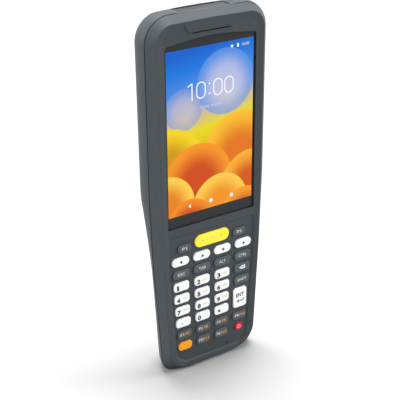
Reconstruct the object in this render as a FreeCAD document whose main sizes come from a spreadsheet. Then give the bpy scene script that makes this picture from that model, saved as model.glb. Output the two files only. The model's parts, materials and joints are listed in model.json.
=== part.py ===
import FreeCAD, Part

import math
import os

import Sketcher

# Portable barcode data terminal, upright on its flat lower end.
# X runs to the viewer's right, Y into the object, Z up, all in millimetres.
# The front rim lies at the most negative Y, the scan window is at the top end.

doc = FreeCAD.newDocument("terminal")
V = FreeCAD.Vector

DRIVING = {
    "body_length": 197.8,
    "body_width": 74.0,
    "body_depth": 28.9,
    "wall": 2.0,
    "front_wall": 1.2,
    "split_depth": 4.7,
    "grip_depth": 21.5,
    "grip_end": 102.0,
    "hump_start": 121.0,
    "window_width": 54.4,
    "window_bottom": 86.0,
    "window_top": 184.6,
    "window_arch": 2.2,
    "gasket_thick": 0.3,
    "lens_thick": 1.2,
    "lens_lap": 1.3,
    "panel_thick": 2.3,
    "dish_drop": 0.5,
    "dish_width": 3.6,
    "crease": 0.6,
    "brow_drop": 0.1,
    "pad_drop": 1.0,
    "pad_wall": 1.4,
    "pad_top": 81.0,
    "key_stand": 0.7,
    "key_gap": 0.2,
    "key_lip": 0.35,
    "key_lip_thick": 0.8,
    "key_travel": 0.6,
    "key_round": 0.3,
    "key_play": 0.05,
    "mat_thick": 0.7,
    "board_thick": 0.8,
    "pack_bottom": 16.0,
    "pack_top": 88.0,
    "pack_half": 20.4,
    "pack_depth": 8.3,
    "pack_gap": 0.25,
    "pack_head_gap": 0.8,
    "tray_wall": 1.2,
    "latch_width": 18.0,
    "latch_height": 7.0,
    "latch_thick": 2.6,
    "latch_travel": 4.0,
    "hook_reach": 0.6,
    "hook_play": 1.2,
    "scan_half": 17.0,
    "scan_floor": 196.8,
    "scan_glass": 0.9,
    "parting": 0.35,
    "screw_shank": 1.0,
    "screw_head": 1.9,
}

# Every driving size is one cell of the sheet, under its own name.
sheet = doc.addObject("Spreadsheet::Sheet", "sizes")
for row, (alias, value) in enumerate(DRIVING.items(), start=1):
    sheet.set(f"A{row}", alias)
    sheet.set(f"B{row}", str(value))
    sheet.setAlias(f"B{row}", alias)
doc.recompute()
S = {alias: float(sheet.get(alias)) for alias in DRIVING}

FRONT = -S["body_depth"] / 2
BACK = S["body_depth"] / 2
SPLIT = FRONT + S["split_depth"]
BELT = SPLIT + 4.75
FLANK = BELT + 8.0
GRIP_BACK = FRONT + S["grip_depth"]
PAD_FACE = FRONT + S["pad_drop"]
PAD_BACK = PAD_FACE + S["pad_wall"]
LENS_FACE = FRONT + S["front_wall"] + S["gasket_thick"]
LENS_BACK = LENS_FACE + S["lens_thick"]
DISH_FACE = FRONT + S["dish_drop"]
WINDOW_MID = (S["window_bottom"] + S["window_top"]) / 2
HEAD = S["body_length"]
HALF = S["body_width"] / 2

subparts = []


def keep(item, label):
    """Name a finished object as one sub-part of the terminal."""
    item.Label = label
    subparts.append(item)
    return item


def plane(body, role):
    for feature in body.Origin.OriginFeatures:
        if feature.Role == role:
            return feature
    raise ValueError(role)


def corner_path(points, radii):
    """Lines and tangent arcs round a closed polygon, one radius to a corner."""
    count = len(points)
    cuts = []
    for i, corner in enumerate(points):
        back = (points[i - 1] - corner).normalize()
        ahead = (points[(i + 1) % count] - corner).normalize()
        half = math.acos(max(-1.0, min(1.0, back.dot(ahead)))) / 2
        reach = radii[i] / math.tan(half)
        middle = (back + ahead).normalize()
        centre = corner + middle * (radii[i] / math.sin(half))
        cuts.append((corner + back * reach, centre - middle * radii[i], corner + ahead * reach))
    edges = []
    for i, (start, mid, end) in enumerate(cuts):
        edges.append(Part.Arc(start, mid, end))
        edges.append(Part.LineSegment(end, cuts[(i + 1) % count][0]))
    return edges


def sketch_path(sketch, points, radii):
    """Put a rounded outline, given in the sketch's own plane, into a sketch."""
    for edge in corner_path(points, radii):
        sketch.addGeometry(edge, False)


def rounded_sketch(body, name, width, height, radius, centre=(0.0, 0.0)):
    """A rounded rectangle on a body's XZ plane, its sizes held by constraints."""
    sketch = body.newObject("Sketcher::SketchObject", name)
    sketch.AttachmentSupport = (plane(body, "XZ_Plane"), [""])
    sketch.MapMode = "FlatFace"
    add_rounded(sketch, width, height, radius, centre)
    return sketch


def add_rounded(sketch, width, height, radius, centre=(0.0, 0.0)):
    left = centre[0] - width / 2
    right = centre[0] + width / 2
    low = centre[1] - height / 2
    high = centre[1] + height / 2
    corners = [V(left, low, 0), V(right, low, 0), V(right, high, 0), V(left, high, 0)]
    first = sketch.GeometryCount
    sketch_path(sketch, corners, [radius] * 4)
    rules = []
    for step in range(4):
        arc = first + 2 * step
        line = arc + 1
        following = first + (2 * step + 2) % 8
        rules.append(Sketcher.Constraint("Tangent", arc, 2, line, 1))
        rules.append(Sketcher.Constraint("Tangent", line, 2, following, 1))
        kind = "Horizontal" if step % 2 == 0 else "Vertical"
        rules.append(Sketcher.Constraint(kind, line))
    for step in range(1, 4):
        rules.append(Sketcher.Constraint("Equal", first, first + 2 * step))
    sketch.addConstraint(rules)
    named = (
        ("radius", Sketcher.Constraint("Radius", first, radius)),
        ("wide", Sketcher.Constraint("DistanceX", first + 5, 2, first + 5, 1, width - 2 * radius)),
        ("high", Sketcher.Constraint("DistanceY", first + 3, 1, first + 3, 2, height - 2 * radius)),
        ("east", Sketcher.Constraint("DistanceX", -1, 1, first, 3, left + radius)),
        ("north", Sketcher.Constraint("DistanceY", -1, 1, first, 3, low + radius)),
    )
    for title, rule in named:
        sketch.renameConstraint(sketch.addConstraint(rule), title)


def pad(body, sketch, depth, name="Pad"):
    """Raise a sketch of the XZ plane towards the back of the terminal."""
    feature = body.newObject("PartDesign::Pad", name)
    feature.Profile = sketch
    feature.Reversed = True
    if isinstance(depth, str):
        feature.setExpression("Length", depth)
    else:
        feature.Length = depth
    sketch.Visibility = False
    return feature


def soften(body, radius, pick, name="Fillet"):
    """Round the picked edges of the body's present shape."""
    doc.recompute()
    base = body.Tip
    names = [f"Edge{i}" for i, edge in enumerate(base.Shape.Edges, start=1) if pick(edge)]
    feature = body.newObject("PartDesign::Fillet", name)
    feature.Base = (base, names)
    if isinstance(radius, str):
        feature.setExpression("Radius", radius)
    else:
        feature.Radius = radius
    return feature


def place(item, x, y, z, turn=0.0):
    """Set the place of an object; a text value is bound to the sheet."""
    item.Placement = FreeCAD.Placement(V(0, 0, 0), FreeCAD.Rotation(V(1, 0, 0), turn))
    for axis, value in zip("xyz", (x, y, z)):
        item.setExpression(f"Placement.Base.{axis}", f"{value}")


def slab(label, width, height, radius, depth, at):
    """One flat rounded plate of the XZ plane, its front face at the given place."""
    body = doc.addObject("PartDesign::Body", label)
    sketch = rounded_sketch(body, f"{label}_outline", width, height, radius)
    pad(body, sketch, depth, f"{label}_pad")
    place(body, *at)
    return body


def block(name, low, high):
    """A plain box between two corners."""
    box = doc.addObject("Part::Box", name)
    box.Length, box.Width, box.Height = (high[i] - low[i] for i in range(3))
    box.Placement.Base = V(*low)
    return box


def rod(name, radius, length, at, axis):
    """A round bar that starts at a place and runs along an axis."""
    bar = doc.addObject("Part::Cylinder", name)
    bar.Radius = radius
    bar.Height = length
    bar.Placement = FreeCAD.Placement(V(*at), FreeCAD.Rotation(V(0, 0, 1), V(*axis)))
    return bar


def cut(name, base, tool):
    feature = doc.addObject("Part::Cut", name)
    feature.Base = base
    feature.Tool = tool
    return feature


def common(name, first, second):
    feature = doc.addObject("Part::Common", name)
    feature.Base = first
    feature.Tool = second
    return feature


def join(name, items):
    feature = doc.addObject("Part::MultiFuse", name)
    feature.Shapes = list(items)
    return feature


def copy_of(name, item):
    """A second user of a shape that another feature already holds."""
    twin = doc.addObject("Part::Refine", name)
    twin.Source = item
    return twin


# The housing's outlines from front to back: half widths at the foot corner, at
# the thumb, at the waist and at the head, then the foot's height, the head's
# height and crown, and the radii of the foot's and the head's corners.
OUTLINES = {
    "rim": ((27.3, 30.5, 31.3, 31.9), 1.5, HEAD - 4.8, 0.6, 13.0, 9.0),
    "split": ((29.4, 34.3, 35.7, HALF - 0.8), -1.2, HEAD - 1.1, 0.5, 9.0, 14.0),
    "belt": ((28.4, 32.2, 36.6, HALF + 0.07), -0.4, HEAD - 0.9, 0.9, 9.0, 14.0),
    "flank": ((23.2, 25.8, 32.6, HALF - 3.4), -0.4, HEAD - 2.8, 1.0, 7.0, 13.0),
    "back": ((14.0, 16.0, 24.6, HALF - 12.0), -0.4, HEAD - 10.8, 0.6, 6.0, 10.0),
}
THUMB_HEIGHT = 62.0
WAIST_HEIGHT = 104.0


def outline(level, inset, depth):
    """The closed outline of the housing at one level, drawn in by a wall."""
    widths, foot, head, crown, foot_round, head_round = OUTLINES[level]
    thin = [value - inset for value in widths]
    low = foot + inset
    high = head - inset
    right = [
        V(thin[0], depth, low),
        V(thin[1], depth, THUMB_HEIGHT),
        V(thin[2], depth, WAIST_HEIGHT),
        V(thin[3], depth, high),
    ]
    left = [V(-point.x, depth, point.z) for point in reversed(right)]
    points = right + [V(0, depth, high + crown)] + left
    side = [max(foot_round - inset, 3.0), 60.0, 60.0, max(head_round - inset, 3.0)]
    radii = side + [300.0] + side[::-1]
    edges = [edge.toShape() for edge in corner_path(points, radii)]
    return Part.Wire(edges)


def loft(name, wires, ruled):
    """A closed skin through outlines, from front to back."""
    item = doc.addObject("Part::Feature", name)
    item.Shape = Part.makeLoft(wires, True, ruled)
    return item


def prism(name, wire, thick):
    """A flat outline of the XZ plane, raised towards the back."""
    item = doc.addObject("Part::Feature", name)
    item.Shape = Part.Face(wire).extrude(V(0, thick, 0))
    return item


def mirrored_wire(half, radii, depth):
    """An outline from the points of its right half, foot first, at one depth."""
    right = [V(x, depth, z) for x, z in half]
    left = [V(-point.x, depth, point.z) for point in reversed(right) if point.x > 0]
    edges = [edge.toShape() for edge in corner_path(right + left, radii)]
    return Part.Wire(edges)


def band(name, level, outer, inner, low, high):
    """A flat ring that follows one outline of the housing."""
    item = doc.addObject("Part::Feature", name)
    full = Part.Face(outline(level, outer, low)).extrude(V(0, high - low, 0))
    core = Part.Face(outline(level, inner, low - 1)).extrude(V(0, high - low + 2, 0))
    item.Shape = full.cut(core)
    return item


def back_profile(name, inset):
    """The waste behind the grip, which leaves the scan hump standing."""
    grip = GRIP_BACK - inset
    hump = BACK - inset + 0.01
    far = BACK + 6
    points = [
        V(0, grip, -5),
        V(0, grip, S["grip_end"]),
        V(0, hump, S["hump_start"]),
        V(0, far, S["hump_start"] + 4),
        V(0, far, -5),
    ]
    edges = [edge.toShape() for edge in corner_path(points, [0.5, 14.0, 9.0, 0.5, 0.5])]
    item = doc.addObject("Part::Extrusion", name)
    face = doc.addObject("Part::Feature", f"{name}_face")
    face.Shape = Part.Face(Part.Wire(edges))
    item.Base = face
    item.Dir = V(1, 0, 0)
    item.DirMode = "Custom"
    item.LengthFwd = 60
    item.LengthRev = 60
    item.Solid = True
    return item


def rear_form(name, inset, front):
    """The rear half's form: skin, hump, grip and the flat foot."""
    levels = [("split", front), ("belt", BELT), ("flank", FLANK), ("back", BACK - inset)]
    skin = loft(f"{name}_skin", [outline(level, inset, depth) for level, depth in levels], False)
    shaped = cut(f"{name}_shaped", skin, back_profile(f"{name}_waste", inset))
    below = block(f"{name}_below", (-60, -30, -10), (60, 30, inset))
    return cut(name, shaped, below)


def union_cut(name, base, tools):
    return cut(name, base, join(f"{name}_tools", tools) if len(tools) > 1 else tools[0])


def slot_tool(name, width, height, radius, centre, low, high):
    """A rounded bar along Y that cuts a window from one depth to another."""
    body = slab(name, width, height, radius, high - low, (centre[0], low, centre[1]))
    return body


# Keypad: each key has a name, its centre seen from the split, width, height
# and corner radius. Columns draw together towards the foot.
PITCH = 7.4
FIRST_ROW = 66.5
COLUMNS = (-20.0, -6.6, 6.7, 20.3)
ROWS = (
    (("left", "up", "down", "right"), 10.6, 4.9, 2.4, 1.0),
    (("esc", "tab", "alt", "ctrl"), 10.6, 4.9, 2.0, 0.985),
    (("1", "2", "3", "backspace"), 9.6, 5.2, 1.6, 0.98),
    (("4", "5", "6", "shift"), 9.5, 5.2, 1.6, 0.97),
    (("7", "8", "9", None), 9.2, 5.2, 1.6, 0.955),
    (("period", "0", "star", None), 9.2, 5.2, 1.6, 0.935),
    (("f1", "f2", "f3", "f4"), 9.2, 4.9, 2.0, 0.9),
    (("orange", "f5", "f6", "power"), 8.7, 4.9, 2.0, 0.885),
)
# Two editing keys are wider than their rows and the power key is smaller.
ODD_KEYS = {"backspace": (10.4, 5.2, 1.6), "shift": (9.9, 5.2, 1.6), "power": (4.6, 4.3, 1.2)}
KEYS = [
    ("key_p1", -17.5, 73.6, 8.4, 4.3, 2.1),
    ("key_scan", 0.0, 75.1, 21.8, 7.1, 3.5),
    ("key_p2", 17.7, 74.0, 8.4, 4.3, 2.1),
    ("key_enter", 18.6, FIRST_ROW - 4.5 * PITCH, 8.8, 12.1, 1.6),
]
for row, (names, width, height, radius, spread) in enumerate(ROWS):
    for column, name in zip(COLUMNS, names):
        if name:
            cap = ODD_KEYS.get(name, (width, height, radius))
            KEYS.append((f"key_{name}", column * spread, FIRST_ROW - row * PITCH, *cap))

LIP_FACE = PAD_BACK + S["key_play"]
MAT_FACE = LIP_FACE + S["key_lip_thick"] + S["key_travel"] + S["key_play"]
MAT_BACK = MAT_FACE + S["mat_thick"]


def make_key(name, x, z, width, height, radius):
    """A key cap that passes through the pad, with a lip that holds it in."""
    body = doc.addObject("PartDesign::Body", name)
    cap = rounded_sketch(body, f"{name}_cap", width, height, radius)
    pad(body, cap, "sizes.key_stand + sizes.pad_wall + sizes.key_play + sizes.key_lip_thick")
    soften(body, "sizes.key_round", lambda edge: edge.BoundBox.YMax < 0.01, f"{name}_crown")
    doc.recompute()
    lip = body.newObject("Sketcher::SketchObject", f"{name}_lip")
    lip.AttachmentSupport = (plane(body, "XZ_Plane"), [""])
    lip.MapMode = "FlatFace"
    lip.AttachmentOffset = FreeCAD.Placement(V(0, 0, -(LIP_FACE - PAD_FACE + S["key_stand"])), FreeCAD.Rotation())
    side = 2 * S["key_lip"]
    add_rounded(lip, width + side, height + side, radius + S["key_lip"])
    pad(body, lip, "sizes.key_lip_thick", f"{name}_lip_pad")
    place(body, x, "-sizes.body_depth / 2 + sizes.pad_drop - sizes.key_stand", z)
    return keep(body, name)


for key in KEYS:
    make_key(*key)

# Front housing: a tapered rim round a shallow dish, with the display window,
# the brow over the receiver slit and the keypad floor pierced for every key.
front_skin = loft("front_skin", [outline("rim", 0, FRONT), outline("split", 0, SPLIT)], True)
foot_waste = block("front_foot_waste", (-60, -30, -10), (60, 30, 0))

LIFT = 0.2
RUN = (S["dish_width"] - S["crease"]) / S["dish_drop"]
dish = loft("dish", [
    outline("rim", S["crease"] - LIFT * RUN, FRONT - LIFT),
    outline("rim", S["dish_width"], DISH_FACE)], True)
BROW = ((13.3, 187.5), (15.6, 190.4), (17.5, HEAD))
brow_radii = [1.6, 3.0, 0.5, 0.5, 3.0, 1.6]
brow = prism("brow", mirrored_wire(BROW, brow_radii, FRONT + S["brow_drop"]), S["dish_drop"])
dish_room = cut("dish_room", dish, brow)


def pad_wire(spread, depth):
    """The keypad floor's outline, drawn wider where its sides slope up."""
    half = ((22.4 + spread, 4.9 - spread), (26.5 + spread, 57.4), (26.9 + spread, S["pad_top"] + spread))
    return mirrored_wire(half, [8.0, 60.0, 1.5, 1.5, 60.0, 8.0], depth)


PAD_SLOPE = 0.9
pad_floor = loft("pad_floor", [pad_wire(PAD_SLOPE, DISH_FACE - LIFT), pad_wire(0, PAD_FACE)], True)


def window_wire(spread, depth):
    """The display window: square below, a low arch above."""
    side = S["window_width"] / 2 + spread
    top = S["window_top"] + spread
    half = ((side, S["window_bottom"] - spread), (side, top - S["window_arch"]))
    apex = [V(0, depth, top + S["window_arch"] / 3)]
    right = [V(x, depth, z) for x, z in half]
    left = [V(-point.x, depth, point.z) for point in reversed(right)]
    edges = [edge.toShape() for edge in corner_path(right + apex + left, [1.0, 2.0, 120.0, 2.0, 1.0])]
    return Part.Wire(edges)


window_size = (S["window_width"], S["window_top"] - S["window_bottom"])
lens_size = (window_size[0] + 2 * S["lens_lap"], window_size[1] + 2 * S["lens_lap"])
window = prism("window_cut", window_wire(0, FRONT - 1), LENS_FACE - FRONT + 1)
bay_size = (lens_size[0] + 0.8, lens_size[1] + 0.8)
bay = slot_tool("lens_bay", *bay_size, 3.0, (0, WINDOW_MID), FRONT + S["front_wall"], SPLIT)
cavity = prism("front_cavity", outline("split", 3.4, PAD_BACK), SPLIT - PAD_BACK + 0.01)

key_cuts = []
for name, x, z, width, height, radius in KEYS:
    gap = 2 * S["key_gap"]
    sizes = (width + gap, height + gap, radius + S["key_gap"])
    key_cuts.append(slot_tool(f"{name}_hole", *sizes, (x, z), PAD_FACE - 1, PAD_BACK + 1))

SLIT_HEIGHT = 187.2
slit = slot_tool("receiver_slit", 23.0, 0.7, 0.3, (0, SLIT_HEIGHT), FRONT - 1, PAD_BACK + 1)
voice_hole = rod("voice_hole", 0.6, 8, (10.2, FRONT - 1, 6.6), (0, 1, 0))
SCREWS = [(side * x, z) for x, z in ((31.6, 176.0), (31.3, 106.0), (25.8, 12.0)) for side in (-1, 1)]
front_tools = [foot_waste, dish_room, pad_floor, window, bay, slit, voice_hole, cavity] + key_cuts
front_open = union_cut("front_open", front_skin, front_tools)
posts = [rod(f"front_post_{i}", 2.3, SPLIT - PAD_BACK + 0.3, (x, PAD_BACK - 0.3, z), (0, 1, 0))
         for i, (x, z) in enumerate(SCREWS)]
front_bossed = join("front_bossed", [front_open] + posts)
post_bores = [rod(f"front_bore_{i}", S["screw_shank"] + 0.03, 3, (x, PAD_BACK + 0.1, z), (0, 1, 0))
              for i, (x, z) in enumerate(SCREWS)]

# A flat seal lies in a groove between the halves, and a narrow step round the
# front half's edge draws the dark parting line.
seal = band("seal_ring", "split", 1.4, 2.4, SPLIT - 0.5, SPLIT)
keep(seal, "housing_seal")
parting = band("parting_step", "split", -1.0, 0.75, SPLIT - S["parting"], SPLIT + 0.01)
grooves = [copy_of("seal_groove", seal), parting]
keep(union_cut("front_shell", front_bossed, post_bores + grooves), "front_housing")

# Display: a foam gasket, the glass and the panel behind it.
gasket_outer = slot_tool("gasket_outer", *lens_size, 2.5, (0, WINDOW_MID), LENS_FACE - S["gasket_thick"], LENS_FACE)
gasket_hole = prism("gasket_hole", window_wire(0.2, LENS_FACE - 1), 2)
keep(cut("gasket_frame", gasket_outer, gasket_hole), "lens_gasket")
keep(slab("lens", *lens_size, 2.5, "sizes.lens_thick", (0, LENS_FACE, WINDOW_MID)), "display_lens")
keep(slab("panel", 55.6, 96.0, 1.5, "sizes.panel_thick", (0, LENS_BACK, WINDOW_MID)), "lcd_module")

# Under the keys: the sprung mat, its contact board and the main board.
def tapered_plate(name, low, high, foot, head, front, thick):
    """A plate whose sides draw in towards the foot like the keypad."""
    wire = mirrored_wire(((foot, low), (head, high)), [4.0, 2.0, 2.0, 4.0], front)
    return prism(name, wire, thick)


keep(tapered_plate("mat", 9.0, 80.2, 23.0, 26.9, MAT_FACE, S["mat_thick"]), "keypad_mat")
keep(tapered_plate("contact_board", 9.0, 80.2, 22.0, 25.9, MAT_BACK, S["board_thick"]), "keypad_board")
BOARD_FACE = SPLIT + 3.2
keep(slab("board", 55.0, 150.0, 3.0, "sizes.board_thick", (0, BOARD_FACE, 97.0)), "main_board")
BOARD_BACK = BOARD_FACE + S["board_thick"]

PLUG_DEPTH = -1.2

# Rear housing: a hollow skin with the pack's tray, six screw pillars, the
# scan window's notch and the openings of the camera, flash and speaker.
rear_outer = rear_form("rear_outer", 0.0, SPLIT)
rear_inner = rear_form("rear_inner", S["wall"], SPLIT - 0.01)
shell = cut("rear_hollow", rear_outer, rear_inner)
PACK_FACE = GRIP_BACK - S["pack_depth"]
gap = S["pack_gap"]
tray_edge = gap + S["tray_wall"]
tray_low = (-S["pack_half"] - tray_edge, PACK_FACE - tray_edge, S["pack_bottom"] - tray_edge)
tray_top = S["pack_top"] + S["latch_height"] + S["latch_travel"] + 2.2
tray_high = (S["pack_half"] + tray_edge, BACK + 1, tray_top)
tray = common("tray_wall", copy_of("outer_for_tray", rear_outer), block("tray_box", tray_low, tray_high))
pillars = [rod(f"pillar_{i}", 2.9, 22, (x, SPLIT, z), (0, 1, 0)) for i, (x, z) in enumerate(SCREWS)]
pillar_form = common("pillar_form", copy_of("outer_for_pillars", rear_outer), join("pillar_rods", pillars))
SEAT = S["scan_floor"] - S["scan_glass"] - 0.3
scan_floor = block("scan_floor_box", (-S["scan_half"] - 2, SPLIT, SEAT - 1.0), (S["scan_half"] + 2, 6, HEAD + 1))
floor_form = common("scan_floor_form", copy_of("outer_for_floor", rear_outer), scan_floor)
rear_solid = join("rear_solid", [shell, tray, pillar_form, floor_form])

pack_space = block("pack_space", (-S["pack_half"] - gap, PACK_FACE - gap, S["pack_bottom"] - gap),
                   (S["pack_half"] + gap, BACK + 1, S["pack_top"] + S["pack_head_gap"]))
tongue_space = block("tongue_space", (-8.4, 3.6, S["pack_bottom"] - 1.35), (8.4, 6.2, S["pack_bottom"]))
LATCH_LOW = S["pack_top"] + S["pack_head_gap"] + 0.15
LATCH_HIGH = LATCH_LOW + S["latch_height"]
LATCH_FACE = GRIP_BACK - S["latch_thick"]
latch_space = block("latch_space", (-S["latch_width"] / 2 - 0.3, LATCH_FACE - 0.3, S["pack_top"]),
                    (S["latch_width"] / 2 + 0.3, BACK + 1, LATCH_HIGH + S["latch_travel"] + 0.3))
NOTCH_FLARE = 7.0
notch_half = ((S["scan_half"], S["scan_floor"]), (S["scan_half"] + NOTCH_FLARE, HEAD + 3))
notch = prism("scan_notch", mirrored_wire(notch_half, [1.2, 0.5, 0.5, 1.2], SPLIT - 0.01), 20)
scan_port = block("scan_port", (-14.0, SPLIT + 2.5, 180), (14.0, SPLIT + 8.1, HEAD))
scan_seat = block("scan_seat", (-15.2, SPLIT + 1.5, SEAT), (15.2, SPLIT + 9.1, HEAD))
camera_port = rod("camera_port", 3.4, 8, (-9, BACK - 5, 168), (0, 1, 0))
camera_seat = rod("camera_seat", 5.0, 8, (-9, BACK - 1.0, 168), (0, 1, 0))
flash_port = rod("flash_port", 2.2, 8, (3, BACK - 5, 168), (0, 1, 0))
speaker_slots = [slot_tool(f"speaker_slot_{i}", 12.0, 1.3, 0.6, (0, 131 + 2.6 * i), BACK - 5, BACK + 1)
                 for i in range(5)]
screw_wells = [rod(f"screw_well_{i}", S["screw_head"] + 0.25, 22, (x, SPLIT + 4, z), (0, 1, 0))
               for i, (x, z) in enumerate(SCREWS)]
screw_bores = [rod(f"screw_bore_{i}", S["screw_shank"] + 0.08, 6, (x, SPLIT - 1, z), (0, 1, 0))
               for i, (x, z) in enumerate(SCREWS)]
plug_space = slab("plug_space", 9.2, 3.4, 1.6, 10, (0, 0, 0))
place(plug_space, 0, PLUG_DEPTH, -1, 90)
rear_tools = [pack_space, tongue_space, latch_space, notch, scan_port, scan_seat, camera_port, camera_seat,
              flash_port] + speaker_slots + screw_wells + screw_bores + [plug_space]
keep(union_cut("rear_shell", rear_solid, rear_tools), "rear_housing")

# Battery pack: the lower back of the terminal, cut from the same form.
pack_box = block("pack_box", (-S["pack_half"], PACK_FACE, S["pack_bottom"]),
                 (S["pack_half"], BACK + 1, S["pack_top"]))
pack_core = common("pack_core", copy_of("outer_for_pack", rear_outer), pack_box)
pack_tongue = block("pack_tongue", (-8, 4.0, S["pack_bottom"] - 1.0), (8, 5.6, S["pack_bottom"] + 1))
LEDGE_BACK = GRIP_BACK - 1.3 - S["hook_play"]
pack_ledge = block("pack_ledge", (-6.3, LEDGE_BACK, S["pack_top"] - S["hook_reach"] - 0.5), (6.3, BACK, 99))
contact_well = block("contact_well", (-8.6, PACK_FACE - 1, S["pack_bottom"] - 1), (8.6, PACK_FACE + 2.6, 21.2))
pack_whole = join("pack_whole", [pack_core, pack_tongue])
keep(union_cut("pack", pack_whole, [pack_ledge, contact_well]), "battery_pack")

# Latch: a ribbed slide whose hook laps over the pack's ledge.
latch_plate = block("latch_plate", (-S["latch_width"] / 2, LATCH_FACE, LATCH_LOW),
                    (S["latch_width"] / 2, GRIP_BACK, LATCH_HIGH))
hook = block("latch_hook", (-5.5, GRIP_BACK - 1.3, S["pack_top"] - S["hook_reach"]),
             (5.5, GRIP_BACK - 0.1, LATCH_LOW + 1))
ribs = [block(f"latch_rib_{i}", (-6.5, GRIP_BACK - 0.3, LATCH_LOW + 1.4 + 1.5 * i),
              (6.5, GRIP_BACK + 0.5, LATCH_LOW + 2.1 + 1.5 * i)) for i in range(3)]
keep(join("latch", [latch_plate, hook] + ribs), "battery_latch")

contact_base = block("contact_base", (-7.8, PACK_FACE - gap, 17.0), (7.8, PACK_FACE + 1.2, 20.0))
blades = [block(f"contact_blade_{i}", (x - 0.5, PACK_FACE + 1.0, 17.4), (x + 0.5, PACK_FACE + 1.9, 19.6))
          for i, x in enumerate((-5.4, -1.8, 1.8, 5.4))]
keep(join("contacts", [contact_base] + blades), "battery_contacts")

# Working pieces inside the head.
ENGINE_HIGH = S["scan_floor"] - 4.6
engine_box = block("engine_box", (-12.0, SPLIT + 2.8, ENGINE_HIGH - 13), (12.0, SPLIT + 13.4, ENGINE_HIGH))
eye = rod("engine_eye", 2.6, 1.4, (-5.0, SPLIT + 5.6, ENGINE_HIGH), (0, 0, 1))
beam = rod("engine_beam", 2.0, 1.2, (6.0, SPLIT + 5.6, ENGINE_HIGH), (0, 0, 1))
keep(join("engine", [engine_box, eye, beam]), "scan_engine")
keep(block("scan_pane", (-15.0, SPLIT + 1.7, SEAT), (15.0, SPLIT + 8.9, SEAT + S["scan_glass"])), "scan_window")
keep(slab("brow_mesh", 25.0, 2.4, 0.4, 0.3, (0, PAD_BACK, SLIT_HEIGHT + 0.4)), "receiver_mesh")
keep(slab("ear_capsule", 14.0, 4.2, 1.0, 1.6, (0, PAD_BACK + 0.3, 188.6)), "receiver")
keep(slab("light_eye", 2.0, 0.9, 0.4, 0.8, (18.2, LENS_BACK, 183.85)), "light_sensor")
keep(rod("voice_capsule", 2.0, 1.4, (10.2, PAD_BACK + 0.02, 6.6), (0, 1, 0)), "microphone")
keep(slab("loud_box", 15.0, 14.0, 2.0, 4.0, (0, BACK - S["wall"] - 4.05, 136.2)), "speaker")
keep(slab("camera_box", 8.0, 8.0, 1.0, 5.0, (-9, BACK - S["wall"] - 5.05, 168)), "camera_module")
keep(rod("camera_glass", 4.9, 0.9, (-9, BACK - 1.0, 168), (0, 1, 0)), "camera_window")
keep(rod("flash_glass", 2.1, 2.0, (3, BACK - 2.1, 168), (0, 1, 0)), "flash_lens")
keep(rod("buzz_motor", 3.0, 8.0, (-22, BOARD_BACK + 3.1, 150), (1, 0, 0)), "vibration_motor")
plug_shell = slot_tool("plug_shell", 9.0, 3.2, 1.5, (0, 0), 0, 7.0)
plug_mouth = slot_tool("plug_mouth", 8.4, 2.6, 1.2, (0, 0), -1, 5.0)
plug_tongue = slot_tool("plug_tongue", 6.6, 0.7, 0.3, (0, 0), 0.6, 6.0)
plug = join("plug_socket", [cut("plug_hollow", plug_shell, plug_mouth), plug_tongue])
plug.Placement = FreeCAD.Placement(V(0, PLUG_DEPTH, 0.2), FreeCAD.Rotation(V(1, 0, 0), 90))
keep(plug, "io_connector")

# Six equal screws hold the halves together.
screws = []
for i, (x, z) in enumerate(SCREWS):
    head = rod(f"screw_head_{i}", S["screw_head"], 1.5, (x, SPLIT + 4, z), (0, 1, 0))
    shank = rod(f"screw_shank_{i}", S["screw_shank"], 6.0, (x, SPLIT - 1.9, z), (0, 1, 0))
    socket = rod(f"screw_socket_{i}", 0.75, 2, (x, SPLIT + 4.8, z), (0, 1, 0))
    screws.append(cut(f"screw_{i}", join(f"screw_blank_{i}", [head, shank]), socket))
keep(join("screw_set", screws), "housing_screws")

doc.recompute()
for item in doc.Objects:
    if "Invalid" in item.State or "Error" in item.State:
        raise RuntimeError(f"{item.Name} failed: {item.State}")

os.makedirs("parts", exist_ok=True)
for item in subparts:
    shape = item.Shape
    if shape.isNull() or not shape.isValid():
        raise RuntimeError(f"{item.Label} has no sound shape")
    shape.exportStep(f"parts/{item.Label}.step")
    box = shape.BoundBox
    print(f"{item.Label:18s} solids {len(shape.Solids)} volume {shape.Volume:9.1f} "
          f"x {box.XMin:6.1f} {box.XMax:6.1f} y {box.YMin:6.1f} {box.YMax:6.1f} z {box.ZMin:6.1f} {box.ZMax:6.1f}")
print(len(subparts), "nodes")
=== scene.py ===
# %% [markdown]
# A portable barcode data terminal, upright on a white floor.
# The construction comes packed as a fixed frame, one object to a piece.
# This lesson gives each piece its finish and adds what printing and light add
# on the real object: legends on the keys, and a picture and marks on the
# display.

# %% Load the frame
import json
import math

import bpy
from mathutils import Matrix, Vector

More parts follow.
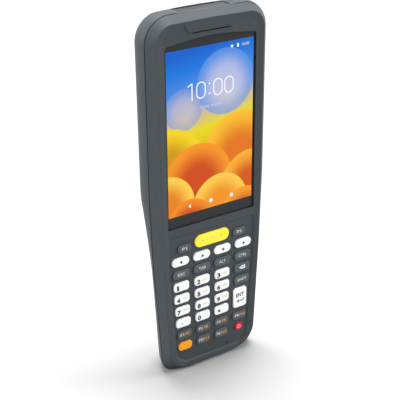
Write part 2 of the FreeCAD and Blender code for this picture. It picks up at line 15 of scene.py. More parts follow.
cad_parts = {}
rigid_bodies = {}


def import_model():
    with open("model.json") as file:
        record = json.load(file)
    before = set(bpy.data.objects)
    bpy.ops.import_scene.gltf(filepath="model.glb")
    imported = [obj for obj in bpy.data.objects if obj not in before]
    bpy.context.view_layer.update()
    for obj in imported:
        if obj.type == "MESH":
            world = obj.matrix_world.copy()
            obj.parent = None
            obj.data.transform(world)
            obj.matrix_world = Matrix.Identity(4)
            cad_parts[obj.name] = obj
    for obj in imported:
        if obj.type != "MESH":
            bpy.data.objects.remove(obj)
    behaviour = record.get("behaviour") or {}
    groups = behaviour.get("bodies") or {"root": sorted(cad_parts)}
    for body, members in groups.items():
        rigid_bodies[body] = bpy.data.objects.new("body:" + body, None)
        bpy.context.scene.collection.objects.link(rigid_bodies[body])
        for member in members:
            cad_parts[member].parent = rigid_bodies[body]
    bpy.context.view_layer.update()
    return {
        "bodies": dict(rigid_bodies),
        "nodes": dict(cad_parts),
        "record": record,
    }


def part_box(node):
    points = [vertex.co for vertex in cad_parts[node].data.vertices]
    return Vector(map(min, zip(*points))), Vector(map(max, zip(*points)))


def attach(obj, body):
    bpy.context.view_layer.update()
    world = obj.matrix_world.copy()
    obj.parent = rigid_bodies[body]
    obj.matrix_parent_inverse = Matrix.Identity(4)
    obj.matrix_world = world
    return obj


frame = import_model()
MM = 0.001
record = frame["record"]

# %% [markdown]
# The photograph was taken from the front left and above with a long lens.
# Its viewpoint comes from the corners of the lit screen, which is taken as a
# 4 inch panel, and from the rows of keys. A camera is set by its place and the
# three directions of its frame.

# %% Camera
VIEW_TURN = math.radians(-33.983)
VIEW_RISE = math.radians(24.220)
VIEW_ROLL = math.radians(-0.362)
VIEW_PLACE = Vector((-0.27868, -0.41618, 0.31694))
LENS = 93.01
SENSOR = 36.0
NEAREST = 10 * MM

back = Vector((
    math.sin(VIEW_TURN) * math.cos(VIEW_RISE),
    -math.cos(VIEW_TURN) * math.cos(VIEW_RISE),
    math.sin(VIEW_RISE),
))
level = Vector((math.cos(VIEW_TURN), math.sin(VIEW_TURN), 0))
upright = back.cross(level)
right = level * math.cos(VIEW_ROLL) + upright * math.sin(VIEW_ROLL)
top = upright * math.cos(VIEW_ROLL) - level * math.sin(VIEW_ROLL)
camera_data = bpy.data.cameras.new("photo_view")
camera_data.lens = LENS
camera_data.sensor_width = SENSOR
camera_data.clip_start = NEAREST
camera = bpy.data.objects.new("photo_view", camera_data)
axes = Matrix((right, top, back)).transposed().to_4x4()
camera.matrix_world = Matrix.Translation(VIEW_PLACE) @ axes
bpy.context.collection.objects.link(camera)
bpy.context.scene.camera = camera
bpy.context.scene.view_settings.view_transform = "Standard"
print("camera distance to the origin:", round(VIEW_PLACE.length, 3), "m")

# %% [markdown]
# Shader sums read best as sums. A small class wraps a socket, so that an
# expression such as `1 - mask * 0.4` adds its Math nodes by itself.


# %% Shader values
class Value:
    """One output socket, with arithmetic that adds Math nodes."""

    def __init__(self, shader, socket):
        self.shader = shader
        self.socket = socket

    def math(self, operation, other=0.0, swapped=False):
        pair = (other, self) if swapped else (self, other)
        return self.shader.node("Math", {"operation": operation}, {0: pair[0], 1: pair[1]})

    def __add__(self, other):
        return self.math("ADD", other)

    __radd__ = __add__

    def __sub__(self, other):
        return self.math("SUBTRACT", other)

    def __rsub__(self, other):
        return self.math("SUBTRACT", other, True)

    def __mul__(self, other):
        return self.math("MULTIPLY", other)

    __rmul__ = __mul__

    def __truediv__(self, other):
        return self.math("DIVIDE", other)

    def __pow__(self, other):
        return self.math("POWER", other)


print("a value adds a node for each sum, difference, product, quotient and power")

# %% [markdown]
# Every other node of a finish comes from one method, which takes its type, its
# settings and the values or links of its sockets. Patterns read Object
# coordinates, so they stay where they are on a piece when it moves.


# %% Shader builder
class Shader:
    """A material under construction, built round one Principled node."""

    def __init__(self, name):
        self.material = bpy.data.materials.new(name)
        self.material.use_nodes = True
        self.tree = self.material.node_tree
        self.surface = self.tree.nodes["Principled BSDF"]
        self.place = self.node("TexCoord", {}, {}, "Object")

    def fill(self, node, sockets):
        for key, value in sockets.items():
            socket = node.inputs[key]
            if isinstance(value, Value):
                self.tree.links.new(value.socket, socket)
            else:
                socket.default_value = value

    def node(self, kind, settings, sockets, output=0):
        made = self.tree.nodes.new("ShaderNode" + kind)
        for key, value in settings.items():
            if key == "stops":
                self.ramp(made, value)
            else:
                setattr(made, key, value)
        self.fill(made, sockets)
        return Value(self, made.outputs[output])

    def ramp(self, made, stops):
        band = made.color_ramp
        while len(band.elements) > 1:
            band.elements.remove(band.elements[-1])
        band.elements[0].position = stops[0][0]
        band.elements[0].color = (*stops[0][1], 1)
        for spot, colour in stops[1:]:
            band.elements.new(spot).color = (*colour, 1)

    def axes(self):
        split = self.node("SeparateXYZ", {}, {0: self.place}).socket.node
        return [Value(self, split.outputs[i]) for i in range(3)]

    def noise(self, scale, detail=2.0, rough=0.5):
        sockets = {"Vector": self.place, "Scale": scale, "Detail": detail, "Roughness": rough}
        return self.node("TexNoise", {}, sockets)

    def step(self, value, low, high):
        """A smooth rise from 0 at low to 1 at high."""
        sockets = {0: value, 1: low, 2: high, 3: 0.0, 4: 1.0}
        return self.node("MapRange", {"interpolation_type": "SMOOTHSTEP"}, sockets)

    def mix(self, amount, first, second):
        return self.node("Mix", {"data_type": "RGBA"}, {0: amount, 6: first, 7: second}, 2)

    def bump(self, height, strength, depth):
        return self.node("Bump", {}, {"Strength": strength, "Distance": depth, "Height": height})

    def finish(self, **sockets):
        names = {key.replace("_", " "): value for key, value in sockets.items()}
        self.fill(self.surface, names)
        return self.material


print("materials before the first finish:", len(bpy.data.materials))

# %% [markdown]
# A colour is easiest to name as it looks on a screen, from 0 to 255. Light adds
# up in linear values, so each colour is turned into linear light first.


# %% Colours
def tint(red, green, blue):
    """A colour in linear light, by the curve that screens follow."""
    parts = []
    for value in (red, green, blue):
        share = value / 255
        parts.append(share / 12.92 if share <= 0.04045 else ((share + 0.055) / 1.055) ** 2.4)
    return (*parts, 1.0)


def shaded(colour, share):
    """A colour made darker or lighter by a share."""
    return (*(min(channel * share, 1.0) for channel in colour[:3]), 1.0)


print("a middle grey in linear light:", round(tint(128, 128, 128)[0], 3))

# %% [markdown]
# The housing is one dark grey moulding compound with a spark-eroded texture:
# a very fine even grain that breaks up the highlights. Handling polishes it a
# little, so its roughness wanders slowly over the surface.

# %% Moulded plastic
WANDER_SCALE = 55
WANDER = 0.12
GRAIN_SCALE = 5200
GRAIN_ROUGH = 0.6
GRAIN_STRENGTH = 0.35
PLASTIC_SHINE = 0.2
HOUSING_GRAIN = 0.02 * MM
KEY_GRAIN = 0.006 * MM
GREY_KEY_GRAIN = 0.008 * MM
FOAM_GRAIN = 0.05 * MM


def moulded(name, colour, roughness, grain=HOUSING_GRAIN, mottle=0.06):
    shader = Shader(name)
    slow = shader.noise(WANDER_SCALE, 3)
    fine = shader.noise(GRAIN_SCALE, 2, GRAIN_ROUGH)
    base = shader.mix(slow, shaded(colour, 1 - mottle), shaded(colour, 1 + mottle))
    rough = roughness + (slow - 0.5) * WANDER
    normal = shader.bump(fine, GRAIN_STRENGTH, grain)
    return shader.finish(Base_Color=base, Roughness=rough, Normal=normal, Specular_IOR_Level=PLASTIC_SHINE)


finishes = {
    "housing": moulded("housing_plastic", tint(63, 69, 73), 0.58),
    "key_white": moulded("key_white", tint(248, 250, 250), 0.38, KEY_GRAIN, 0.01),
    "key_grey": moulded("key_grey", tint(84, 88, 91), 0.36, GREY_KEY_GRAIN, 0.04),
    "key_yellow": moulded("key_yellow", tint(255, 238, 72), 0.36, KEY_GRAIN, 0.02),
    "key_orange": moulded("key_orange", tint(254, 164, 36), 0.36, KEY_GRAIN, 0.02),
    "key_red": moulded("key_red", tint(228, 20, 44), 0.36, KEY_GRAIN, 0.02),
    "foam": moulded("foam_black", tint(22, 22, 24), 0.9, FOAM_GRAIN),
    "silicone": moulded("silicone_grey", tint(70, 72, 74), 0.6),
    "module_black": moulded("module_black", tint(24, 25, 27), 0.45),
}
print("moulded finishes:", len(finishes))

# %% [markdown]
# Metal parts are plain: plated contacts, steel screws and the woven mesh behind
# the ear slot. A fine speckle varies the roughness and colour of the contacts
# and screws. The mesh is two crossed waves, whose crests are wire. Its troughs
# stand for holes and are painted near black, as painted shade seen through them.

# %% Metals
SPECKLE_SCALE = 900
SPECKLE = 0.15
THREAD_WAVE = 22000


def metal(name, colour, roughness):
    shader = Shader(name)
    speckle = shader.noise(SPECKLE_SCALE, 2)
    rough = roughness + (speckle - 0.5) * SPECKLE
    base = shader.mix(speckle, shaded(colour, 0.9), colour)
    return shader.finish(Base_Color=base, Roughness=rough, Metallic=1.0)


finishes["contact_metal"] = metal("contact_gold", tint(222, 190, 110), 0.25)
finishes["screw_steel"] = metal("screw_steel", tint(110, 110, 114), 0.35)


def woven():
    shader = Shader("mesh_steel")
    x, _, z = shader.axes()
    waves = (x * THREAD_WAVE).math("SINE") * (z * THREAD_WAVE).math("SINE")
    wire = shader.step(waves, -0.2, 0.4)
    # The dark tint in the troughs is painted shade, where holes would show the dark inside; the lighter
    # tint is the wire.
    base = shader.mix(wire, tint(20, 20, 21), tint(70, 71, 73))
    return shader.finish(Base_Color=base, Roughness=0.4, Metallic=wire * 0.8)


finishes["mesh_metal"] = woven()
print("with the metals:", len(finishes))

# %% [markdown]
# The display is one sheet of glass. Its border is printed dark grey on the
# back, and inside the border the panel's picture shines through. The picture
# is a free design: rounded hills in warm tints, one before the other, under a
# sky that goes from gold through lilac to blue, with two pale moons. A moon or
# hill is a middle and a radius in half widths of the screen, a tint at its
# heart, a tint at its rim and how much it covers.

# %% Picture and screen
SCREEN_HALF = 26.135 * MM
SCREEN_LOW = 92.4 * MM
SCREEN_HIGH = 179.52 * MM
SCREEN_TALL = SCREEN_HIGH - SCREEN_LOW
SKY = (
    (0.0, (214, 96, 6)), (0.22, (240, 150, 14)), (0.38, (226, 186, 4)), (0.52, (232, 216, 6)),
    (0.60, (212, 192, 128)), (0.68, (168, 172, 206)), (0.78, (72, 138, 224)),
    (0.90, (16, 118, 222)), (1.0, (2, 96, 204)),
)
MOONS = (
    ((0.34, 2.56), 0.66, (206, 206, 228), (96, 150, 228), 0.7),
    ((-0.62, 2.16), 0.42, (196, 190, 200), (128, 154, 216), 0.6),
)
HILLS = (
    ((-0.95, 1.05), 0.78, (206, 150, 0), (246, 214, 20), 0.95),
    ((0.70, 0.98), 0.92, (226, 116, 14), (250, 190, 40), 1.0),
    ((-0.30, 0.62), 0.80, (206, 72, 4), (246, 150, 26), 1.0),
    ((0.95, 0.30), 0.74, (214, 88, 4), (250, 176, 44), 1.0),
    ((-1.05, 0.22), 0.66, (232, 130, 16), (254, 208, 76), 1.0),
    ((0.22, 0.02), 0.66, (240, 146, 24), (254, 204, 74), 1.0),
    ((-0.50, -0.26), 0.56, (198, 62, 2), (244, 140, 24), 1.0),
    ((0.80, -0.34), 0.60, (204, 66, 2), (248, 160, 36), 1.0),
)
print("screen:", round(2 * SCREEN_HALF / MM, 2), "by", round(SCREEN_TALL / MM, 2), "mm")
print("discs in the picture:", len(MOONS + HILLS))

# %% [markdown]
# A hill is a disc. How much it covers falls from one to nothing at its rim, and
# its tint changes from its heart to its rim. Both come from the distance to its
# middle.

# %% Disc
DISC_EDGE = 0.012
DISC_HEART = 0.35


def disc(shader, across, up, centre, radius):
    """A disc's cover, and its distance share from middle to rim."""
    dx = across - centre[0]
    dz = up - centre[1]
    far = (dx * dx + dz * dz) ** 0.5
    cover = 1.0 - shader.step(far, radius - DISC_EDGE, radius + DISC_EDGE)
    return cover, shader.step(far, radius * DISC_HEART, radius)


print("a rim is soft over", round(2 * DISC_EDGE * SCREEN_HALF / MM, 2), "mm")

# %% [markdown]
# The sky is a ramp, and the discs are laid over it in turn, the moons first.
# The picture is worked out from the glass's own X and Z, so it needs no image,
# and it feeds Emission Color. It ends at the edge of the panel, and outside it
# the glass shows its printed border.

# %% Display glass
SKY_SLANT = 0.05
SIDE_EDGE = 0.0015
END_EDGE = 0.04 * MM
GLASS_SHINE = 0.16


def display_glass():
    shader = Shader("display_glass")
    x, _, z = shader.axes()
    across = x / SCREEN_HALF
    up = (z - SCREEN_LOW) / SCREEN_HALF
    rise = (z - SCREEN_LOW) / SCREEN_TALL - across * SKY_SLANT
    stops = tuple((spot, tint(*colour)[:3]) for spot, colour in SKY)
    picture = shader.node("ValToRGB", {"stops": stops}, {"Fac": rise})
    for centre, radius, heart, rim, strength in MOONS + HILLS:
        cover, ripe = disc(shader, across, up, centre, radius)
        fill = shader.mix(ripe, tint(*heart), tint(*rim))
        picture = shader.mix(cover * strength, picture, fill)
    side = 1.0 - shader.step(across.math("ABSOLUTE"), 1 - SIDE_EDGE, 1 + SIDE_EDGE)
    middle = (SCREEN_LOW + SCREEN_HIGH) / 2
    from_middle = (z - middle).math("ABSOLUTE")
    ends = 1.0 - shader.step(from_middle, SCREEN_TALL / 2 - END_EDGE, SCREEN_TALL / 2 + END_EDGE)
    lit = side * ends
    glow = shader.mix(lit, (0, 0, 0, 1), picture)
    base = shader.mix(lit, tint(44, 46, 48), tint(4, 4, 5))
    shine = {"Roughness": 0.08, "Specular_IOR_Level": GLASS_SHINE}
    return shader.finish(Base_Color=base, Emission_Color=glow, Emission_Strength=1.0, **shine)


finishes["display_glass"] = display_glass()
print("nodes in the display glass:", len(finishes["display_glass"].node_tree.nodes))

# %% [markdown]
# The scan window, the camera's cover, the light sensor, the flash and the
# display module are smooth. A plain shader does, with a little smear in its
# roughness, as a thumb leaves. The shine is held low, or the scan window would
# turn white when seen from above.

# %% Windows and lenses
SMEAR_SCALE = 120
SMEAR = 0.05
WINDOW_SHINE = 0.12


def glazed(name, colour, roughness):
    shader = Shader(name)
    rough = roughness + shader.noise(SMEAR_SCALE, 2) * SMEAR
    return shader.finish(Base_Color=colour, Roughness=rough, Specular_IOR_Level=WINDOW_SHINE)


finishes["window_glass"] = glazed("window_glass", tint(20, 16, 22), 0.04)
finishes["clear_lens"] = glazed("clear_lens", tint(210, 206, 190), 0.15)
finishes["panel"] = glazed("panel_black", tint(14, 14, 16), 0.1)
print("with the glass:", len(finishes))

# %% [markdown]
# The circuit boards are sealed inside. They get the green of solder mask, and
# the borders of a cell pattern stand for the copper under it.

# %% Circuit board
TRACK_SCALE = 420.0


def board():
    shader = Shader("board_green")
    sockets = {"Vector": shader.place, "Scale": TRACK_SCALE}
    gap = shader.node("TexVoronoi", {"feature": "DISTANCE_TO_EDGE"}, sockets)
    field = shader.step(gap, 0.03, 0.06)
    base = shader.mix(field, tint(60, 110, 60), tint(18, 70, 36))
    return shader.finish(Base_Color=base, Roughness=0.35)


finishes["board"] = board()
print("finishes in all:", len(finishes))

# %% [markdown]
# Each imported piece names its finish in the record, so the finishes go on by
# slot. The mesh itself stays as it came.

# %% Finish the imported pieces
for entry in record["subparts"]:
    piece = frame["nodes"][entry["node"]]
    piece.data.materials.clear()
    piece.data.materials.append(finishes[entry["material_slot"]])
print("finished", len(record["subparts"]), "packed pieces")

# %% [markdown]
# Legends are printed on the keys in inks of a few colours. An ink is never
# quite even, so a fine fleck dims it here and there. The marks on the lit
# screen are inks that glow.

# %% Inks
FLECK_SCALE = 900


def ink(name, colour, glow=0.0):
    shader = Shader(name)
    base = shader.mix(shader.noise(FLECK_SCALE, 2), shaded(colour, 0.92), colour)
    if not glow:
        return shader.finish(Base_Color=base, Roughness=0.5)
    lit = {"Emission_Color": base, "Emission_Strength": glow}
    return shader.finish(Base_Color=(0, 0, 0, 1), Roughness=0.3, **lit)


INKS = {
    "black": ink("ink_black", tint(8, 8, 9)),
    "white": ink("ink_white", tint(240, 242, 244)),
    "pale": ink("ink_pale", tint(208, 211, 214)),
    "soft": ink("ink_yellow_green", tint(222, 224, 160)),
    "orange": ink("ink_orange", tint(224, 156, 76)),
    "dim_yellow": ink("ink_dark_yellow", tint(196, 172, 20)),
}
print("inks:", len(INKS))

# %% [markdown]
# A legend could be a texture, but then it would need an image. Here each is a
# flat mesh, a hair proud of its key. All are made lying flat, then stood up to
# face the viewer and settled, so that the object sits at the origin and the
# place is in its mesh. A place is given across, up and in depth, in that order.
# An operator acts on all that is selected, so each tool deselects first.


# %% Stand a flat piece up
def deselect():
    for item in list(bpy.context.selected_objects):
        item.select_set(False)


def make_active(item):
    deselect()
    item.select_set(True)
    bpy.context.view_layer.objects.active = item


def settle(item):
    """Bring an object's place, turn and size into its mesh."""
    make_active(item)
    bpy.ops.object.transform_apply(location=True, rotation=True, scale=True)


def face_viewer(item, name, x, z, y):
    """Stand a flat piece up so that it faces the viewer, at its place."""
    item.name = name
    item.rotation_euler = (math.radians(90), 0, 0)
    item.location = (x, y, z)
    settle(item)
    return item


print("selected by the loading:", len(bpy.context.selected_objects))

# %% [markdown]
# Words and digits start as text and are turned into meshes. Each is stretched
# to the height and width it has on the key. A printed stroke is often heavier
# than the letter's own, so the outline can grow a little.

# %% Letters
FINE = 0.01
SLIGHT = 0.012
MEDIUM = 0.02
BOLD = 0.03
HEAVY = 0.05
CURVE_STEPS = 3


def letters(name, text, x, z, y, height, width, thick=0.0):
    """Flat text that faces the viewer, centred at a place, as a mesh."""
    deselect()
    bpy.ops.object.text_add(location=(0, 0, 0))
    item = bpy.context.object
    item.data.body = text
    item.data.offset = thick
    item.data.resolution_u = CURVE_STEPS
    item.data.size = 1.0
    make_active(item)
    bpy.ops.object.convert(target="MESH")
    item = bpy.context.object
    lows = [min(v.co[i] for v in item.data.vertices) for i in range(2)]
    highs = [max(v.co[i] for v in item.data.vertices) for i in range(2)]
    tall = height / (highs[1] - lows[1])
    wide = width / (highs[0] - lows[0])
    item.location = (-(lows[0] + highs[0]) / 2 * wide, -(lows[1] + highs[1]) / 2 * tall, 0)
    item.scale = (wide, tall, 1)
    settle(item)
    return face_viewer(item, name, x, z, y)


print("steps to a curve of a letter:", CURVE_STEPS)

# %% [markdown]
# A dot, a ring and a triangle are all circles, with many sides or with three. A
# ring is what is left of a disc when its inset middle is deleted.

# %% Round marks
ROUND_SIDES = 24
TRIANGLE = 3


def round_mark(name, x, z, y, radius, sides=ROUND_SIDES, turn=0.0, stroke=0.0):
    """A flat disc, ring or regular shape with one corner up."""
    deselect()
    bpy.ops.mesh.primitive_circle_add(vertices=sides, radius=radius, fill_type="NGON")
    item = bpy.context.object
    if stroke:
        bpy.ops.object.mode_set(mode="EDIT")
        bpy.ops.mesh.select_all(action="SELECT")
        bpy.ops.mesh.inset(thickness=stroke, depth=0)
        bpy.ops.mesh.delete(type="FACE")
        bpy.ops.object.mode_set(mode="OBJECT")
    item.rotation_euler = (0, 0, math.radians(turn))
    settle(item)
    return face_viewer(item, name, x, z, y)


print("sides of a plain disc:", ROUND_SIDES)

# %% [markdown]
# A legend rides on its key's own body, so that it moves when the key is
# pressed. It stands in front of the key's face by the thickness of the ink.

# %% Printing
PROUD = 0.015 * MM


def print_on(item, node, colour):
    """Ink a legend and let it ride on its key's own body."""
    item.data.materials.clear()
    item.data.materials.append(INKS[colour])
    body = node if node in frame["bodies"] else "housing"
    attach(item, body)


def key_face(node):
    """The middle of a key's face and a depth just proud of it."""
    low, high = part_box(node)
    return (low[0] + high[0]) / 2, (low[2] + high[2]) / 2, low[1] - PROUD


print("a legend stands proud by", PROUD / MM, "mm")

# %% [markdown]
# The number keys are white. The digit stands in the left half in black. Beside
# all but 1 and 0 is a faint group of letters, as on any telephone keypad.

# %% Number keys
LETTER_GROUPS = {
    "2": "abc", "3": "def", "4": "ghi", "5": "jkl", "6": "mno", "7": "pqrs", "8": "tuv", "9": "wxyz",
}
DIGIT_SHIFT = (-2.35 * MM, -0.45 * MM)
DIGIT_SIZE = (2.15 * MM, 2.8 * MM)
NARROW_ONE = 1.25 * MM
GROUP_SHIFT = (1.7 * MM, 0.1 * MM)
GROUP_LETTER = (0.95 * MM, 1.6 * MM)
PERIOD_SHIFT = (-0.9 * MM, -0.5 * MM)
PERIOD = 0.36 * MM
for digit in "1234567890":
    node = f"key_{digit}"
    x, z, y = key_face(node)
    place = (x + DIGIT_SHIFT[0], z + DIGIT_SHIFT[1], y)
    wide = NARROW_ONE if digit == "1" else DIGIT_SIZE[0]
    weight = MEDIUM if digit == "1" else HEAVY
    print_on(letters(f"digit_{digit}", digit, *place, DIGIT_SIZE[1], wide, weight), node, "black")
    if digit in LETTER_GROUPS:
        group = LETTER_GROUPS[digit]
        place = (x + GROUP_SHIFT[0], z + GROUP_SHIFT[1], y)
        wide = GROUP_LETTER[0] * len(group)
        print_on(letters(f"letters_{digit}", group, *place, GROUP_LETTER[1], wide, MEDIUM), node, "soft")
x, z, y = key_face("key_period")
made = round_mark("period_mark", x + PERIOD_SHIFT[0], z + PERIOD_SHIFT[1], y, PERIOD)
print_on(made, "key_period", "black")
print("letter groups:", len(LETTER_GROUPS))

# %% [markdown]
# Seven of the grey keys carry one pale word each, with a width of its own.

# %% Word keys
WORDS = {
    "key_esc": ("ESC", 4.4), "key_tab": ("TAB", 4.4), "key_alt": ("ALT", 4.2), "key_ctrl": ("CTRL", 5.4),
    "key_shift": ("SHIFT", 6.2), "key_p1": ("P1", 3.0), "key_p2": ("P2", 3.2),
}
WORD_HEIGHT = 1.7 * MM
for node, (word, wide) in WORDS.items():
    x, z, y = key_face(node)
    print_on(letters(f"word_{node}", word, x, z, y, WORD_HEIGHT, wide * MM, SLIGHT), node, "pale")
print("keys with one word:", len(WORDS))

# %% [markdown]
# The function keys carry two legends, a pale one to the left and an orange one
# to the right, which is reached with the orange key.

# %% Function keys
PAIR_SHIFT = 1.75 * MM
FIRST_WIDE = 2.4 * MM
SECOND_LETTER = 1.25 * MM
FUNCTIONS = 6
for number in range(1, FUNCTIONS + 1):
    node = f"key_f{number}"
    first = f"F{number}"
    second = f"F{number + FUNCTIONS}"
    x, z, y = key_face(node)
    made = letters(f"first_{node}", first, x - PAIR_SHIFT, z, y, WORD_HEIGHT, FIRST_WIDE, MEDIUM)
    print_on(made, node, "pale")
    wide = SECOND_LETTER * len(second)
    made = letters(f"second_{node}", second, x + PAIR_SHIFT, z, y, WORD_HEIGHT, wide, MEDIUM)
    print_on(made, node, "orange")
print("keys with two legends:", FUNCTIONS)

# %% [markdown]
# The four white keys in the row under the scan key carry arrows. A triangle is
# a circle of three sides, turned to point its own way.

# %% Arrows
ARROW = 1.15 * MM
ARROW_SHIFT = (0.35 * MM, -0.25 * MM)
for name, turn in (("up", 0), ("left", 90), ("down", 180), ("right", 270)):
    node = f"key_{name}"
    x, z, y = key_face(node)
    made = round_mark(f"arrow_{name}", x + ARROW_SHIFT[0], z + ARROW_SHIFT[1], y, ARROW, TRIANGLE, turn)
    print_on(made, node, "black")
print("arrow radius:", ARROW / MM, "mm")

# %% [markdown]
# Most of the other marks have bars in them. A bar is a plane with its size
# settled, so that a bevel rounds its corners evenly. With a stroke, its inset
# middle is deleted and only a rim is left.

# %% Bars
CORNER_STEPS = 8


def plate(name, x, z, y, wide, tall, corner=0.0, turn=0.0, stroke=0.0):
    """A flat bar with rounded corners; with a stroke, only its rim is left."""
    deselect()
    bpy.ops.mesh.primitive_plane_add(size=1)
    item = bpy.context.object
    item.scale = (wide, tall, 1)
    settle(item)
    bpy.ops.object.mode_set(mode="EDIT")
    bpy.ops.mesh.select_all(action="SELECT")
    if corner:
        bpy.ops.mesh.bevel(offset=corner, segments=CORNER_STEPS, affect="VERTICES")
    if stroke:
        bpy.ops.mesh.inset(thickness=stroke, depth=0)
        bpy.ops.mesh.delete(type="FACE")
    bpy.ops.object.mode_set(mode="OBJECT")
    item.rotation_euler = (0, 0, math.radians(turn))
    settle(item)
    return face_viewer(item, name, x, z, y)


def united(name, pieces):
    """Several flat pieces as one object."""
    deselect()
    for item in pieces:
        item.select_set(True)
    bpy.context.view_layer.objects.active = pieces[0]
    bpy.ops.object.join()
    pieces[0].name = name
    return pieces[0]


print("steps to a rounded corner:", CORNER_STEPS)

# %% [markdown]
# The star is three bars that cross.

# %% Star
RAY = (1.7 * MM, 0.55 * MM)
STAR_SHIFT = (-1.8 * MM, -0.45 * MM)
x, z, y = key_face("key_star")
place = (x + STAR_SHIFT[0], z + STAR_SHIFT[1], y)
rays = [plate("star_ray", *place, *RAY, turn=turn) for turn in (30, 90, 150)]
print_on(united("star_mark", rays), "key_star", "black")
print("rays in the star:", len(rays))

# %% [markdown]
# The backspace mark is a flag with a pointed nose, a bar joined with a triangle.
# A dark cross stands on it, proud of the flag.

# %% Backspace
FLAG = (2.6 * MM, 2.2 * MM)
FLAG_SHIFT = 0.6 * MM
NOSE_SHIFT = -1.05 * MM
NOSE = 1.27 * MM
CROSS = 1.0 * MM
x, z, y = key_face("key_backspace")
flag = plate("backspace_flag", x + FLAG_SHIFT, z, y, *FLAG)
nose = round_mark("backspace_nose", x + NOSE_SHIFT, z, y, NOSE, TRIANGLE, 90)
print_on(united("backspace_flag", [flag, nose]), "key_backspace", "white")
made = letters("backspace_cross", "x", x + FLAG_SHIFT, z, y - PROUD, CROSS, CROSS, BOLD)
print_on(made, "key_backspace", "black")
print("the cross stands proud by", 2 * PROUD / MM, "mm")

# %% [markdown]
# The tall key carries a word over a hooked arrow, which is a shaft, a riser and
# two short barbs. The table gives each bar's place across and up, its width,
# its height and its corner in millimetres, and its turn in degrees.

# %% Enter
ENTER_WORD = (5.4 * MM, 2.3 * MM)
ENTER_LIFT = 1.6 * MM
ENTER_BARS = (
    ("enter_shaft", 0.35, -2.2, 4.3, 0.5, 0.0, 0),
    ("enter_riser", 2.25, -1.35, 0.5, 1.7, 0.0, 0),
    ("enter_barb_up", -1.45, -1.85, 1.5, 0.5, 0.1, 45),
    ("enter_barb_down", -1.45, -2.55, 1.5, 0.5, 0.1, -45),
)
x, z, y = key_face("key_enter")
made = letters("enter_word", "ENT", x, z + ENTER_LIFT, y, ENTER_WORD[1], ENTER_WORD[0], BOLD)
print_on(made, "key_enter", "black")
bars = []
for name, across, up, wide, tall, corner, turn in ENTER_BARS:
    bars.append(plate(name, x + across * MM, z + up * MM, y, wide * MM, tall * MM, corner * MM, turn))
print_on(united("enter_arrow", bars), "key_enter", "black")
print("bars in the hooked arrow:", len(ENTER_BARS))

# %% [markdown]
# The scan key has three small dots in a row.

# %% Scan dots
DOT_STEP = 6.0 * MM
DOT = 0.35 * MM
x, z, y = key_face("key_scan")
for step in (-1, 0, 1):
    made = round_mark(f"scan_dot_{step + 1}", x + DOT_STEP * step, z, y, DOT)
    print_on(made, "key_scan", "dim_yellow")
print("scan dots are", DOT_STEP / MM, "mm apart")

# %% [markdown]
# The power mark is a ring that is open at the top, with a bar in the gap. The
# ring's upper faces are picked by their place and deleted.

# %% Power mark
HALF_GAP = 0.5 * MM
RING = 1.15 * MM
RING_SIDES = 32
RING_STROKE = 0.32 * MM
BAR = (0.34 * MM, 1.2 * MM)
BAR_LIFT = 0.75 * MM
x, z, y = key_face("key_power")
open_ring = round_mark("power_ring", x, z, y, RING, RING_SIDES, stroke=RING_STROKE)
for face in open_ring.data.polygons:
    face.select = face.center.z > z and abs(face.center.x - x) < HALF_GAP
bpy.ops.object.mode_set(mode="EDIT")
bpy.ops.mesh.delete(type="FACE")
bpy.ops.object.mode_set(mode="OBJECT")
print_on(open_ring, "key_power", "pale")
print_on(plate("power_bar", x, z + BAR_LIFT, y, *BAR), "key_power", "pale")
print("faces left in the open ring:", len(open_ring.data.polygons))

# %% [markdown]
# On the lit screen stand a thin clock, a date, small status marks and the
# three navigation marks. They shine, so their ink is an emission. A place on
# the screen is given as shares of its width and height.

# %% Screen places
INKS["light"] = ink("screen_white", tint(252, 252, 254), 1.0)
INKS["faint"] = ink("screen_pale", tint(236, 234, 238), 0.85)
SCREEN_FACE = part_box("display_lens")[0][1] - 0.02 * MM


def on_screen(item, colour="light"):
    """Give a mark a glowing ink and let it ride on the housing."""
    item.data.materials.clear()
    item.data.materials.append(INKS[colour])
    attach(item, "housing")


def at(share_x, share_z):
    """A place on the screen's face, from shares of its width and height."""
    return (2 * share_x - 1) * SCREEN_HALF, SCREEN_LOW + share_z * SCREEN_TALL, SCREEN_FACE


print("middle of the screen:", [round(value / MM, 2) for value in at(0.5, 0.5)], "mm")

# %% [markdown]
# The clock's figures are thin strokes of one width. A nought is the rim of a
# rounded bar, and a one is a stem with a short flag.

# %% Clock
STROKE = 0.62 * MM
FIGURE_TALL = 8.9 * MM
NOUGHT_WIDE = 5.7 * MM
NOUGHT_ROUND = NOUGHT_WIDE / 2 - 0.02 * MM
STEM_SHIFT = -11.2 * MM
FLAG_PLACE = (-12.5 * MM, 3.55 * MM)
FLAG_LONG = 3.0 * MM
FLAG_TURN = 28
COLON_SHIFT = -0.8 * MM
COLON_LIFT = 2.6 * MM
COLON_DOT = 0.5 * MM
NOUGHT_SHIFTS = (-5.9 * MM, 4.3 * MM, 11.1 * MM)
CLOCK_AT = (0.5, 0.745)
x, z, y = at(*CLOCK_AT)
clock = [
    plate("clock_stem", x + STEM_SHIFT, z, y, STROKE, FIGURE_TALL),
    plate("clock_flag", x + FLAG_PLACE[0], z + FLAG_PLACE[1], y, FLAG_LONG, STROKE, turn=FLAG_TURN),
]
for shift in NOUGHT_SHIFTS:
    size = (NOUGHT_WIDE, FIGURE_TALL, NOUGHT_ROUND)
    clock.append(plate("clock_nought", x + shift, z, y, *size, stroke=STROKE))
for lift in (-COLON_LIFT, COLON_LIFT):
    clock.append(round_mark("clock_dot", x + COLON_SHIFT, z + lift, y, COLON_DOT))
on_screen(united("clock", clock))
print("clock pieces:", len(clock))

# %% [markdown]
# The date stands under the clock. The status marks stand in one row at the top
# and the navigation marks in another at the bottom. Each is a disc, a triangle
# or a rounded bar.

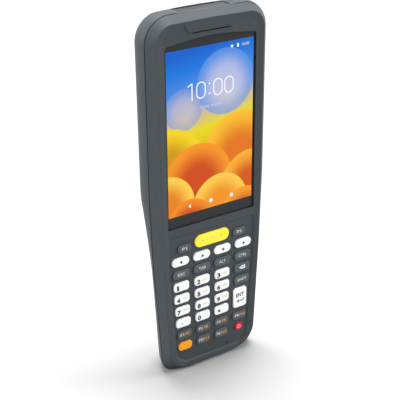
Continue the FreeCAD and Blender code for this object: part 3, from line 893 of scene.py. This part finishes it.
# %% Small marks
DATE_AT = (0.5, 0.64)
DATE_WIDE = 13.0 * MM
TIME_WIDE = 4.4 * MM
SMALL_TALL = 1.5 * MM
STATUS_ROW = 0.967
MARK_ROW = 0.045
MARK = 1.15 * MM
BATTERY = (1.15 * MM, 1.9 * MM, 0.3 * MM)
RECENT = (1.8 * MM, 1.8 * MM, 0.2 * MM)
on_screen(letters("date", "MON, MAY 4", *at(*DATE_AT), SMALL_TALL, DATE_WIDE), "faint")
on_screen(letters("small_clock", "10:00", *at(0.905, STATUS_ROW), SMALL_TALL, TIME_WIDE, FINE), "faint")
on_screen(plate("battery_mark", *at(0.815, STATUS_ROW), *BATTERY))
on_screen(round_mark("signal_mark", *at(0.745, STATUS_ROW), MARK, TRIANGLE, 180))
on_screen(round_mark("back_mark", *at(0.25, MARK_ROW), MARK, TRIANGLE, 90))
on_screen(round_mark("home_mark", *at(0.5, MARK_ROW), MARK))
on_screen(plate("recent_mark", *at(0.75, MARK_ROW), *RECENT))
print("radius of a small mark:", MARK / MM, "mm")

# %% [markdown]
# A light sensor looks out through a small dark oval in the glass's border.

# %% Sensor eye
EYE = (1.5 * MM, 1.0 * MM, 0.48 * MM)
low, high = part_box("light_sensor")
place = ((low[0] + high[0]) / 2, (low[2] + high[2]) / 2, SCREEN_FACE)
made = plate("sensor_eye", *place, *EYE)
made.data.materials.append(INKS["black"])
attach(made, "housing")
print("sensor eye at", [round(value / MM, 2) for value in place], "mm")

# %% [markdown]
# Floor and surround each have two looks. The camera, glass and shiny faces see
# one, and the other lights the terminal. A Light Path node tells the rays
# apart, and a Mix Shader chooses. The surround isn't a finish, so these nodes
# are added to its tree or the floor's by hand.


# %% Seen or lit
def seen_or_lit(tree, seen, lit, output):
    """Show one closure to camera, glossy and transmitted rays, another to light."""
    path = tree.nodes.new("ShaderNodeLightPath")
    factor = path.outputs["Is Camera Ray"]
    for ray in ("Is Glossy Ray", "Is Transmission Ray"):
        either = tree.nodes.new("ShaderNodeMath")
        either.operation = "MAXIMUM"
        tree.links.new(factor, either.inputs[0])
        tree.links.new(path.outputs[ray], either.inputs[1])
        factor = either.outputs[0]
    blend = tree.nodes.new("ShaderNodeMixShader")
    tree.links.new(factor, blend.inputs[0])
    tree.links.new(lit.outputs[0], blend.inputs[1])
    tree.links.new(seen.outputs[0], blend.inputs[2])
    tree.links.new(blend.outputs[0], output.inputs["Surface"])


print("rays that see the bright look: camera, glossy, transmission")

# %% [markdown]
# The terminal stands on a white floor. It is seen a little brighter than it
# lights the terminal, so that it ends in white, keeps the shadow and throws
# little light back up.

# %% Floor
SEEN_FLOOR = 0.355
LIT_FLOOR = (0.26, 0.28)
FLOOR_SIZE = 6
FLOOR_MOTTLE = 6


def grey(level):
    return (level, level, level, 1)


def floor_finish():
    shader = Shader("floor_white")
    base = shader.mix(shader.noise(FLOOR_MOTTLE, 1), grey(LIT_FLOOR[0]), grey(LIT_FLOOR[1]))
    material = shader.finish(Base_Color=base, Roughness=0.9)
    bright = shader.node("BsdfDiffuse", {}, {"Color": grey(SEEN_FLOOR)}).socket.node
    seen_or_lit(shader.tree, bright, shader.surface, shader.tree.nodes["Material Output"])
    return material


deselect()
bpy.ops.mesh.primitive_plane_add(size=FLOOR_SIZE, location=(0, 0, 0))
floor = bpy.context.object
floor.name = "floor"
floor.data.materials.append(floor_finish())
print("floor seen at", SEEN_FLOOR, "and lighting at", LIT_FLOOR)

# %% [markdown]
# The surround is white where it is seen, and much dimmer as a light.

# %% Surround
WORLD_LIGHT = 0.24
world = bpy.data.worlds.new("studio")
world.use_nodes = True
bpy.context.scene.world = world
sky = world.node_tree
plain = sky.nodes["Background"]
plain.inputs["Color"].default_value = grey(1)
plain.inputs["Strength"].default_value = WORLD_LIGHT
white = sky.nodes.new("ShaderNodeBackground")
white.inputs["Color"].default_value = grey(1)
white.inputs["Strength"].default_value = 1.0
seen_or_lit(sky, white, plain, sky.nodes["World Output"])
print("the surround lights at", WORLD_LIGHT)

# %% [markdown]
# The light is soft studio light from far, wide lamps. Two stand overhead, one
# a little behind and one a little to the right, and draw the soft shadow round
# the foot. One more stands to the left, one to the right and a weak one in
# front. A far lamp lights the floor evenly, where a near one would leave its
# far end grey. Each is given by a direction, the angle it fills and its
# strength.

# %% Light
LAMPS = {
    "overhead_light_back": ((0.02, 0.28, 1.0), 22, 3.5),
    "overhead_light_right": ((0.3, 0.1, 1.0), 22, 3.5),
    "left_light": ((-1.25, 0.3, 0.5), 45, 3.2),
    "front_light": ((0.1, -1.2, 0.9), 40, 0.7),
    "right_light": ((1.2, -0.45, 0.6), 24, 2.7),
}
for name, (direction, spread, strength) in LAMPS.items():
    data = bpy.data.lights.new(name, "SUN")
    data.angle = math.radians(spread)
    data.energy = strength
    lamp = bpy.data.objects.new(name, data)
    lamp.location = direction
    lamp.rotation_euler = Vector(direction).to_track_quat("Z", "Y").to_euler()
    bpy.context.collection.objects.link(lamp)
print("lamps:", len(LAMPS))
